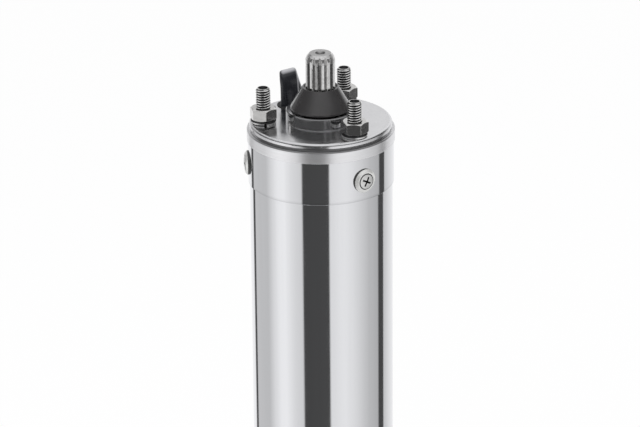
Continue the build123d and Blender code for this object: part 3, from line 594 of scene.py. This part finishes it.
def rubber(name, color, roughness, grain=0.03, sheen=0.0, painted_highlight=None):
    """Moulded rubber or sheath with a fine skin, and a painted highlight where one is asked for."""
    shader = Shader(name, color, roughness, Specular_IOR_Level=0.5, Sheen_Weight=sheen, Sheen_Roughness=0.22)
    shader.vary_color(shader.noise(120, detail=5), 0.92, 1.08)
    shader.vary_roughness(shader.noise(260), 0.92, 1.1)
    if painted_highlight:
        # Painted highlight: pale where it faces up over the fold and along its edge beside the shaft
        share = shader.join(
            shader.spread(shader.along("Z", "Normal"), 0, 0.9, (0.74, 1.0)),
            shader.spread(shader.along("X", "Normal"), 0, 0.75, (0.15, 0.5)),
            "MAXIMUM",
        )
        risen = shader.spread(shader.along("Z"), 0, 1, highlight_span)
        shader.overlay(shader.join(share, risen, "MULTIPLY"), painted_highlight)
    shader.round_edges(0.3 * mm)
    return shader.bump(shader.noise(1500, detail=4), grain * mm, 0.35)


def slinger_rubber():
    """Moulded cone with a smooth, slightly glossy skin."""
    shader = rubber("slinger_rubber", (0.036, 0.0345, 0.035), 0.24, grain=0.006, sheen=0.35)
    shader.bsdf.inputs["Coat Weight"].default_value = 0.6
    shader.bsdf.inputs["Coat Roughness"].default_value = 0.12
    return shader


def lead_rubber():
    # Painted highlight along the top of the fold and its edge
    return rubber("lead_sheath", (0.018, 0.019, 0.023), 0.28, grain=0.015, sheen=0.4, painted_highlight=(0.5, 0.5, 0.52))


def plastic(name, color, roughness):
    """Smooth insulation and ties."""
    shader = Shader(name, color, roughness)
    shader.vary_color(shader.noise(200), 0.9, 1.1)
    return shader.bump(shader.noise(900), 0.01 * mm, 0.3)


def cast_iron():
    shader = Shader("cast_bracket", (0.25, 0.25, 0.26), 0.6, metallic=0.8)
    shader.vary_color(shader.noise(150, detail=6), 0.75, 1.2)
    return shader.bump(shader.noise(400, detail=6), 0.15 * mm, 0.6)


def copper(name, color, stretch):
    """Bare or varnished copper, drawn along its strands."""
    shader = Shader(name, color, 0.3, metallic=1.0)
    shader.vary_color(shader.noise(700, stretch=stretch), 0.8, 1.15)
    return shader.bump(shader.noise(1200, stretch=stretch), 0.05 * mm, 0.5)


# Each finish, and the nodes of the model that wear it
finishes = {
    "shell_steel": (shell_steel("shell_steel"), ["stator_tube"]),
    "sleeve_steel": (sleeve_steel(), ["shell_sleeve"]),
    "rim_steel": (rim_steel(), ["upper_bearing_housing"]),
    "satin_steel": (satin_steel("satin_steel"), ["base_cap"]),
    "mirror_steel": (mirror_steel(), ["face_plate"]),
    "pilot_steel": (pilot_steel(), ["seal_housing"]),
    "fastener_steel": (
        fastener_steel("fastener_steel", (0.74, 0.735, 0.72), 0.13, 0.25 * mm),
        ["stud_nuts", "base_screws"],
    ),
    "thread_steel": (fastener_steel("thread_steel", (0.86, 0.855, 0.84), 0.16, 0), []),
    "screw_steel": (fastener_steel("screw_steel", (0.88, 0.88, 0.86), 0.32, 0.1 * mm), []),
    "cup_steel": (cup_steel(), ["screw_cup_washers"]),
    "painted_shade_steel": (dark_steel("painted_shade_steel", (0.07, 0.07, 0.072), 0.4), []),
    "washer_steel": (washer_steel(), []),
    "shaft_steel": (shaft_steel(), ["rotor_shaft"]),
    "spring_steel": (
        dark_steel("spring_steel", (0.35, 0.35, 0.36), 0.3),
        ["preload_washer", "bearing_circlip", "shaft_circlip"],
    ),
    "lamination_steel": (
        dark_steel("lamination_steel", (0.3, 0.31, 0.33), 0.4),
        ["stator_core", "rotor_core"],
    ),
    "bearing_steel": (
        dark_steel("bearing_steel", (0.75, 0.75, 0.76), 0.12),
        [
            "upper_bearing_outer_race",
            "upper_bearing_inner_race",
            "upper_bearing_balls",
            "lower_bearing_outer_race",
            "lower_bearing_inner_race",
            "lower_bearing_balls",
        ],
    ),
    "cage_brass": (
        dark_steel("cage_brass", (0.72, 0.55, 0.25), 0.3),
        ["upper_bearing_cage", "lower_bearing_cage"],
    ),
    "cage_aluminium": (dark_steel("cage_aluminium", (0.77, 0.77, 0.78), 0.35), ["rotor_cage"]),
    "winding_copper": (copper("winding_copper", (0.55, 0.24, 0.12), (1, 1, 0.1)), ["stator_windings"]),
    "bare_copper": (copper("bare_copper", (0.8, 0.42, 0.26), (1, 1, 1)), []),
    "cast_bracket": (cast_iron(), ["lower_bearing_bracket"]),
    "slinger_rubber": (slinger_rubber(), ["sand_slinger"]),
    "gland_rubber": (rubber("gland_rubber", (0.02, 0.02, 0.021), 0.5), ["lead_gland"]),
    "seal_rubber": (
        rubber("seal_rubber", (0.03, 0.03, 0.03), 0.5),
        ["shaft_seals", "seal_o_ring", "housing_o_ring", "bracket_o_ring", "diaphragm"],
    ),
    "lead_sheath": (lead_rubber(), []),
    "core_insulation": (plastic("core_insulation", (0.2, 0.09, 0.04), 0.4), ["internal_leads"]),
    "tie_plastic": (plastic("tie_plastic", (0.03, 0.03, 0.03), 0.45), ["coil_tie"]),
}


def paint(piece, *names):
    """Gives a piece its finishes, in the order of its faces' material numbers."""
    if piece.data.materials:
        piece.data.materials.clear()
    for name in names:
        piece.data.materials.append(finishes[name][0].material)


for finish_name, (_, finish_nodes) in finishes.items():
    for node in finish_nodes:
        paint(nodes[node], finish_name)


# Threaded studs


def stud_place(angle):
    return Matrix.Translation(polar(stud_circle, angle, 0))


def build_stud(angle):
    """One stud: a V thread on a helix, and a chamfered and dished end."""
    place = stud_place(angle)
    root = stud_radius - thread_depth
    thread_end = z_stud_top - stud_chamfer * thread_end_share
    turns = (thread_end - z_stud_foot) / thread_pitch
    # One pitch of the thread's profile as shares of the pitch and radii, and its lit faces; the other faces
    # get painted shade
    profile = (
        (0.0, root),
        (0.12, root),
        (0.46, stud_radius),
        (0.6, stud_radius),
        (0.78, stud_radius - 0.45 * thread_depth),
    )
    lit_faces = (2, 3)
    mesh_data = bmesh.new()
    rows = []
    for step in range(int(turns * thread_steps) + thread_steps + 1):
        turn = 2 * pi * step / thread_steps
        base = z_stud_foot - thread_pitch + step / thread_steps * thread_pitch
        row = []
        for share, radius in profile:
            height = base + share * thread_pitch
            below_end = z_stud_top - height
            radius = min(radius, stud_radius - stud_chamfer + max(below_end, 0))
            height = min(max(height, z_stud_foot), thread_end)
            row.append(mesh_data.verts.new(place @ polar(radius, turn, height)))
        rows.append(row)
    for low, high in zip(rows, rows[1:]):
        for index in range(len(low) - 1):
            face = mesh_data.faces.new((low[index], high[index], high[index + 1], low[index + 1]))
            face.material_index = 0 if index in lit_faces else 1
    for step in range(len(rows) - thread_steps - 1):
        low, high = rows[step], rows[step + 1]
        next_low, next_high = rows[step + thread_steps], rows[step + thread_steps + 1]
        mesh_data.faces.new((low[-1], high[-1], next_high[0], next_low[0])).material_index = 1
    end_radius = stud_radius - stud_chamfer
    cone = [
        (root - stud_core_inset, z_stud_top - stud_core_depth),
        (root, z_stud_top - stud_chamfer * cone_foot_share),
        (end_radius, z_stud_top),
        (stud_dish_radius, z_stud_top),
        (stud_dish_radius * stud_dish_floor, z_stud_top - stud_dish_depth),
        (0, z_stud_top - stud_dish_depth),
    ]
    lathe(mesh_data, cone, thread_steps, place)
    # Painted shade in the dished end
    for face in mesh_data.faces:
        offset = place.inverted() @ face.calc_center_median()
        if offset.xy.length < stud_dish_radius:
            face.material_index = 1
    return mesh_data


for number, angle in enumerate(stud_angles, start=1):
    stud_mesh = finished_mesh("stud", build_stud(angle), smooth_angle=50)
    stud = new_object(f"threaded_stud_{number}", stud_mesh)
    paint(stud, "thread_steel", "painted_shade_steel")
    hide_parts("mounting_studs")


# Split spring washers


def build_washer(angle, turn):
    """A flat-wire ring that rises along a helix from one side of its split to the other."""
    corner = washer_corner
    place = stud_place(angle)
    thickness = z_washer_top - z_washer_foot - washer_rise
    mesh_data = bmesh.new()
    rings = []
    for step in range(washer_steps + 1):
        share = step / washer_steps
        along = turn + washer_gap / 2 + (2 * pi - washer_gap) * share
        foot = z_washer_foot + washer_rise * share
        top = foot + thickness
        section = [
            (washer_inner + corner, foot),
            (washer_outer - corner, foot),
            (washer_outer, foot + corner),
            (washer_outer, foot + thickness * washer_waist),
            (washer_outer, top - corner),
            (washer_outer - corner, top),
            (washer_inner + corner, top),
            (washer_inner, top - corner),
            (washer_inner, foot + corner),
        ]
        rings.append([place @ polar(radius, along, height) for radius, height in section])
    add_rings(mesh_data, rings)
    # Painted shadow of the nut on the washer's upper faces
    for face in mesh_data.faces:
        if face.calc_center_median().z > z_washer_foot + thickness * washer_shade_share:
            face.material_index = 1
    return mesh_data


for number, (angle, turn) in enumerate(zip(stud_angles, washer_turns), start=1):
    washer_mesh = finished_mesh("washer", build_washer(angle, turn))
    washer = new_object(f"spring_washer_{number}", washer_mesh)
    paint(washer, "washer_steel", "painted_shade_steel")
    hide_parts("spring_washers")


# Cross-recessed side screws


def cross_cutter(place):
    """A cross that tapers towards its foot, as the driver bit leaves it."""
    mesh_data = bmesh.new()
    levels = ((recess_mouth, recess_mouth_share), (-recess_depth, recess_foot_share))
    for turn in (0, pi / 2):
        spin = Matrix.Rotation(turn, 4, "Z")
        rings = []
        for height, share in levels:
            # The slots narrow less than they shorten
            reach, half = recess_reach * share, recess_width / 2 * (0.6 + 0.4 * share)
            corners = ((-reach, -half), (reach, -half), (reach, half), (-reach, half))
            rings.append([place @ spin @ Vector((x, y, height)) for x, y in corners])
        add_rings(mesh_data, rings)
    bmesh.ops.recalc_face_normals(mesh_data, faces=mesh_data.faces)
    mesh = bpy.data.meshes.new("cross")
    mesh_data.to_mesh(mesh)
    mesh_data.free()
    return mesh


def crown_height(radius):
    """The height of a screw head's crown, by the distance from its middle."""
    return screw_crown * (1 - (radius / screw_head_radius) ** 2)


def build_screw(angle, turn):
    """A countersunk head with a low crown, its cross recess cut out of it."""
    place = (
        Matrix.Rotation(angle, 4, "Z")
        @ Matrix.Translation((screw_front - screw_crown, 0, z_screws))
        @ Matrix.Rotation(pi / 2, 4, "Y")
        @ Matrix.Rotation(turn, 4, "Z")
    )
    profile = [(0, screw_crown)]
    for step in range(1, screw_crown_steps + 1):
        radius = screw_groove_inner * step / screw_crown_steps
        profile.append((radius, crown_height(radius)))
    profile += [
        (screw_groove_inner, -screw_groove_depth),
        (screw_head_radius - screw_rim_inset, -screw_rim_drop),
        (screw_shank_radius, -screw_head_depth),
        (screw_shank_radius, -screw_head_depth - screw_shank_length),
        (0, -screw_head_depth - screw_shank_length),
    ]
    mesh_data = bmesh.new()
    lathe(mesh_data, profile, screw_head_steps, place)
    head = bpy.data.objects.new("head", finished_mesh("head", mesh_data))
    cutter = bpy.data.objects.new("cutter", cross_cutter(place))
    for piece in (head, cutter):
        bpy.context.scene.collection.objects.link(piece)
    cut = head.modifiers.new("recess", "BOOLEAN")
    cut.operation = "DIFFERENCE"
    cut.solver = "EXACT"
    cut.use_self = True
    cut.object = cutter
    bpy.context.view_layer.update()
    shaped = bpy.data.meshes.new_from_object(head.evaluated_get(bpy.context.evaluated_depsgraph_get()))
    for piece in (head, cutter):
        bpy.data.objects.remove(piece)
    mesh_data = bmesh.new()
    # Painted shade in the cross recess and in the groove round the head
    mesh_data.from_mesh(shaped)
    for face in mesh_data.faces:
        offset = place.inverted() @ face.calc_center_median()
        reach = offset.xy.length
        sunk = crown_height(reach) - offset.z
        beside = reach > screw_groove_inner - screw_groove_margin
        if sunk > recess_shade_depth and (reach < recess_reach * recess_shade_share or beside):
            face.material_index = 1
    return finished_mesh("screw", mesh_data, smooth_angle=30)


for number, (angle, turn) in enumerate(zip(stud_angles, screw_turns), start=1):
    screw = new_object(f"cross_screw_{number}", build_screw(angle, turn))
    paint(screw, "screw_steel", "painted_shade_steel")
    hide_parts("side_screws")


# Lead

lead_along = Vector((cos(lead_heading), sin(lead_heading), 0))
lead_across = Vector((sin(lead_heading), -cos(lead_heading), 0))
z_lead = lead_thickness / 2 + floor_gap
# Listed: out of the gland, over the fold, down behind the shell, and then along the floor
lead_route = (
    (0.0, 0.0, z_face + gland_lip - gland_pocket),
    (0.0, 0.0, z_face + 0.0080),
    (-0.0002, 0.0001, z_face + 0.0132),
    (0.0003, 0.0017, z_face + 0.0172),
    (0.0026, 0.0053, z_face + 0.0171),
    (0.0052, 0.0074, z_face + 0.0105),
    (0.0070, 0.0088, z_face + 0.0065),
    (0.0126, 0.0143, z_face + 0.0014),
    (0.0150, 0.0172, z_face - 0.0200),
    (0.0170, 0.0204, z_face - 0.0620),
    (0.0180, 0.0219, z_face - 0.1380),
    (0.0183, 0.0225, z_face - 0.2100),
    (0.0180, 0.0219, z_face - 0.2660),
    (0.0190, 0.0235, z_face - 0.3030),
)
lead_foot = ((0.0102, z_lead + 0.0094), (0.0202, z_lead), (0.0282, z_lead))
lead_start = Vector((0, gland_circle, 0))
lead_points = [lead_start + Vector(point) for point in lead_route]
foot_start = Vector((lead_points[-1].x, lead_points[-1].y, 0))
for along, height in lead_foot:
    lead_points.append(foot_start + lead_along * along + Vector((0, 0, height)))


def nurbs_line(points, resolution=8):
    """The points that a NURBS spline runs through, from its control points."""
    curve = bpy.data.curves.new("line", "CURVE")
    curve.dimensions = "3D"
    curve.resolution_u = resolution
    spline = curve.splines.new("NURBS")
    spline.points.add(len(points) - 1)
    for control, point in zip(spline.points, points):
        control.co = (*point, 1)
    spline.order_u = 3
    spline.use_endpoint_u = True
    holder = bpy.data.objects.new("line", curve)
    bpy.context.scene.collection.objects.link(holder)
    bpy.context.view_layer.update()
    mesh = bpy.data.meshes.new_from_object(holder)
    line = [vertex.co.copy() for vertex in mesh.vertices]
    bpy.data.objects.remove(holder)
    bpy.data.curves.remove(curve)
    bpy.data.meshes.remove(mesh)
    return line


# The coil's own control points: the lead turns on edge along the stub, then winds inwards
turn_pitch = lead_thickness + coil_turn_gap
run_length = sum((after - before).length for before, after in zip(lead_points, lead_points[1:]))
coiled_length = lead_length - (run_length - route_shortcut) - coil_stub - core_length
coil_turns = coiled_length / (2 * pi * coil_radius)
entry_radius = coil_radius + coil_layers * turn_pitch / 2 - turn_pitch / 2
coil_height = coil_foot + lead_width / 2
coil_entry = lead_points[-1] + lead_along * coil_stub
coil_centre = coil_entry - lead_across * entry_radius
coil_centre.z = coil_height


def coil_point(turn, radius):
    """A point of the coil, its turn counted from where the lead comes in."""
    angle = 2 * pi * turn
    return coil_centre + radius * (lead_across * cos(angle) + lead_along * sin(angle))


coil_controls = []
for step in range(int(coil_turns * coil_points_per_turn) + 1):
    turn = step / coil_points_per_turn
    coil_controls.append(coil_point(turn, entry_radius - turn_pitch * turn))
coil_controls.append(coil_point(coil_turns, entry_radius - turn_pitch * coil_turns))
stub_controls = [
    lead_points[-1] + lead_along * coil_stub * share + Vector((0, 0, (coil_height - z_lead) * share))
    for share in (0.35, 0.75)
]
lead_line = nurbs_line(lead_points + stub_controls + coil_controls)


def flat_section(center, tangent, wide):
    """The lead's oblong section: flat faces and round narrow sides."""
    thin = tangent.cross(wide).normalized()
    half_thin = lead_thickness / 2
    half_flat = lead_width / 2 - half_thin
    arc_steps = 7
    points = []
    for side in (1, -1):
        for step in range(arc_steps + 1):
            angle = -pi / 2 + pi * step / arc_steps
            across = side * (half_flat + half_thin * cos(angle))
            points.append(center + wide * across + thin * side * half_thin * sin(angle))
    return points


def smooth_share(share):
    """A share held between 0 and 1, with a soft start and end."""
    held = min(max(share, 0.0), 1.0)
    return held * held * (3 - 2 * held)


def lead_widths(tangents):
    """The direction of the lead's width along its line.

    It stays along X through the fold over the gland, turns little by little to lie level at the foot, and
    stands on edge from the end of the stub on.
    """
    upward = Vector((0, 0, 1))
    reached = [(point - lead_points[-1]).dot(lead_along) / coil_stub for point in lead_line]
    foot = next(index for index, share in enumerate(reached) if share > 0)
    edge = next(index for index, share in enumerate(reached) if share >= 1)
    fold = max(range(foot), key=lambda index: lead_line[index].z)
    carried = [Vector((1, 0, 0))]
    for before, after in zip(tangents[:foot], tangents[1 : foot + 1]):
        carried.append(before.rotation_difference(after) @ carried[-1])
    level = tangents[foot].cross(upward).normalized()
    level *= 1 if level.dot(carried[foot]) > 0 else -1
    tilt = atan2(carried[foot].cross(level).dot(tangents[foot]), carried[foot].dot(level))
    widths = []
    for index, (point, tangent) in enumerate(zip(lead_line, tangents)):
        if index <= foot:
            past_fold = (lead_line[fold].z - point.z) / fold_fade if index > fold else 0
            eased = smooth_share(past_fold)
            settled = Matrix.Rotation(tilt * index / foot, 3, tangent) @ carried[index]
            width = carried[0] * (1 - eased) + settled * eased
        elif index < edge:
            turn = smooth_share(reached[index]) * pi / 2
            width = widths[foot] * cos(turn) + upward * sin(turn)
        else:
            width = upward
        if index > fold:
            width = width - tangent * width.dot(tangent) * (eased if index <= foot else 1)
        widths.append(width.normalized())
    return widths


def build_lead():
    """The sheath: its oblong section set along its line."""
    tangents = []
    for index in range(len(lead_line)):
        before = lead_line[max(index - 1, 0)]
        after = lead_line[min(index + 1, len(lead_line) - 1)]
        tangents.append((after - before).normalized())
    mesh_data = bmesh.new()
    places = zip(lead_line, tangents, lead_widths(tangents))
    add_rings(mesh_data, [flat_section(*place) for place in places])
    return mesh_data


lead_mesh = finished_mesh("lead", build_lead(), smooth_angle=45)
lead = new_object("lead_sheath", lead_mesh)
paint(lead, "lead_sheath")
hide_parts("motor_lead", "lead_coil")


# Stripped cores at the lead's free end


def build_wire(name, mesh_name, points, radius, finish, steps=14):
    """A round wire with closed ends along its points."""
    rings = []
    for index, point in enumerate(points):
        before = points[max(index - 1, 0)]
        after = points[min(index + 1, len(points) - 1)]
        tangent = (after - before).normalized()
        side = tangent.cross(Vector((0, 0, 1))).normalized()
        up = side.cross(tangent)
        turns = [2 * pi * step / steps for step in range(steps)]
        rings.append([point + radius * (side * cos(turn) + up * sin(turn)) for turn in turns])
    mesh_data = bmesh.new()
    add_rings(mesh_data, rings)
    wire = new_object(name, finished_mesh(mesh_name, mesh_data))
    paint(wire, finish)
    return wire


end_radius = entry_radius - turn_pitch * coil_turns
end_point = coil_point(coil_turns, end_radius)
end_outward = (end_point - coil_centre).normalized()
end_heading = Vector((0, 0, 1)).cross(end_outward)
core_pieces = []
for layer in range(core_count):
    height = coil_foot + lead_width * (layer + 0.5) / core_count - coil_height
    start = end_point - end_heading * core_tuck + Vector((0, 0, height))
    inward = Matrix.Rotation(core_inward, 4, "Z") @ end_heading
    root_point = coil_point(coil_turns, end_radius - core_inset) + Vector((0, 0, height))
    controls = [
        start,
        start + end_heading * core_straight,
        root_point + inward * core_bend,
        root_point + inward * core_length,
    ]
    line = nurbs_line(controls)
    strip_at = next(index for index, point in enumerate(line) if (point - line[-1]).length < core_strip)
    insulated, bare = line[: strip_at + 1], line[strip_at:]
    core = build_wire(f"core_insulation_{layer + 1}", "core", insulated, core_radius, "core_insulation")
    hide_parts("lead_core_ends")
    tip = build_wire(f"core_copper_{layer + 1}", "tip", bare, core_radius * copper_share, "bare_copper")
    core_pieces += [core, tip]


# Camera


def direction(azimuth, elevation):
    """The direction of a view, from the model to the camera."""
    level = cos(elevation)
    return Vector((sin(azimuth) * level, -cos(azimuth) * level, sin(elevation)))


camera_turn = camera_azimuth + camera_pan
toward = direction(camera_azimuth, camera_elevation)
back = direction(camera_turn, camera_pitch)
level_right = Vector((cos(camera_turn), sin(camera_turn), 0))
level_up = back.cross(level_right)
right = cos(camera_roll) * level_right + sin(camera_roll) * level_up
up = -sin(camera_roll) * level_right + cos(camera_roll) * level_up
camera_data = bpy.data.cameras.new("camera")
camera_data.lens = camera_lens
camera_data.clip_end = camera_reach
camera = bpy.data.objects.new("camera", camera_data)
camera_place = toward * camera_distance + Vector((0, 0, z_face))
camera.matrix_world = Matrix.Translation(camera_place) @ Matrix((right, up, back)).transposed().to_4x4()
bpy.context.scene.collection.objects.link(camera)
bpy.context.scene.camera = camera


# Floor and studio


def build_floor():
    """The white paper that the motor stands on, which the metal doesn't mirror."""
    mesh_data = bmesh.new()
    bmesh.ops.create_grid(mesh_data, x_segments=1, y_segments=1, size=floor_size)
    mesh = bpy.data.meshes.new("floor")
    mesh_data.to_mesh(mesh)
    mesh_data.free()
    floor = bpy.data.objects.new("floor", mesh)
    bpy.context.scene.collection.objects.link(floor)
    floor.visible_glossy = False
    shader = Shader("floor", (floor_white,) * 3, 0.9, Specular_IOR_Level=0.0)
    shader.vary_color(shader.noise(3), 0.995, 1.005)
    # Seen from the camera the floor is mostly paper white, and keeps a soft part of the shadow
    paper = shader.add("ShaderNodeEmission")
    ray = shader.add("ShaderNodeLightPath")
    glow = shader.add("ShaderNodeMath", operation="MULTIPLY")
    glow.inputs[1].default_value = floor_glow
    mixed = shader.add("ShaderNodeMixShader")
    shader.link(ray.outputs["Is Camera Ray"], glow.inputs[0])
    shader.link(glow.outputs["Value"], mixed.inputs["Fac"])
    shader.link(shader.bsdf.outputs["BSDF"], mixed.inputs[1])
    shader.link(paper.outputs["Emission"], mixed.inputs[2])
    shader.link(mixed.outputs["Shader"], shader.tree.nodes["Material Output"].inputs["Surface"])
    floor.data.materials.append(shader.material)


build_floor()


def build_world():
    """The studio as a world: what metal shows, a soft light for the rest, and white for the camera."""
    world = bpy.data.worlds.new("studio")
    world.use_nodes = True
    graph = Graph(world.node_tree)
    graph.tree.nodes.clear()
    coordinates = graph.add("ShaderNodeTexCoord")
    turned = graph.add("ShaderNodeVectorRotate", rotation_type="Z_AXIS")
    turned.inputs["Angle"].default_value = pi / 2 - camera_azimuth
    graph.link(coordinates.outputs["Generated"], turned.inputs["Vector"])
    parts = graph.add("ShaderNodeSeparateXYZ")
    graph.link(turned.outputs["Vector"], parts.inputs["Vector"])
    azimuth = graph.join(parts.outputs["Y"], parts.outputs["X"], "ARCTAN2")
    share = graph.spread(azimuth, 0, 1, (-pi, pi))

    def ring(stops):
        """The colour round the motor, from a list of degrees and brightnesses."""
        ramp = graph.add("ShaderNodeValToRGB")
        while len(ramp.color_ramp.elements) < len(stops):
            ramp.color_ramp.elements.new(0.5)
        for element, (degrees_round, brightness) in zip(ramp.color_ramp.elements, stops):
            element.position = (degrees_round + 180) / 360
            element.color = (brightness, brightness, brightness * 1.01, 1)
        graph.link(share, ramp.inputs["Fac"])
        return ramp.outputs["Color"]

    height = parts.outputs["Z"]
    high = graph.spread(height, 0, 1, high_span, soft=True)
    overhead = graph.spread(height, 0, 1, overhead_span, soft=True)
    below = graph.spread(height, 0, below_share, below_span, soft=True)
    around = graph.blend(high, ring(low_studio), ring(high_studio))
    seen = graph.blend(below, graph.blend(overhead, around, overhead_color), below_color)
    path = graph.add("ShaderNodeLightPath")
    lit = graph.blend(path.outputs["Is Glossy Ray"], soft_color, seen)
    shown = graph.blend(path.outputs["Is Camera Ray"], lit, paper_color)
    background = graph.add("ShaderNodeBackground")
    graph.link(shown, background.inputs["Color"])
    output = graph.add("ShaderNodeOutputWorld")
    graph.link(background.outputs["Background"], output.inputs["Surface"])
    return world


bpy.context.scene.world = build_world()


def softbox(name, place, energy):
    """A soft lamp that looks at the motor's upper half and isn't seen in the metal."""
    lamp_data = bpy.data.lights.new(name, "AREA")
    lamp_data.shape = "SQUARE"
    lamp_data.size = lamp_size
    lamp_data.energy = energy
    lamp = bpy.data.objects.new(name, lamp_data)
    lamp.location = place
    aim = lamp_aim - Vector(place)
    lamp.rotation_mode = "QUATERNION"
    lamp.rotation_quaternion = aim.to_track_quat("-Z", "Y")
    lamp.visible_glossy = False
    bpy.context.scene.collection.objects.link(lamp)


softbox("key", (-1.2, -0.6, 1.7), 14)
softbox("fill", (1.4, -1.0, 1.2), 6)

bpy.context.scene.view_settings.view_transform = "Standard"
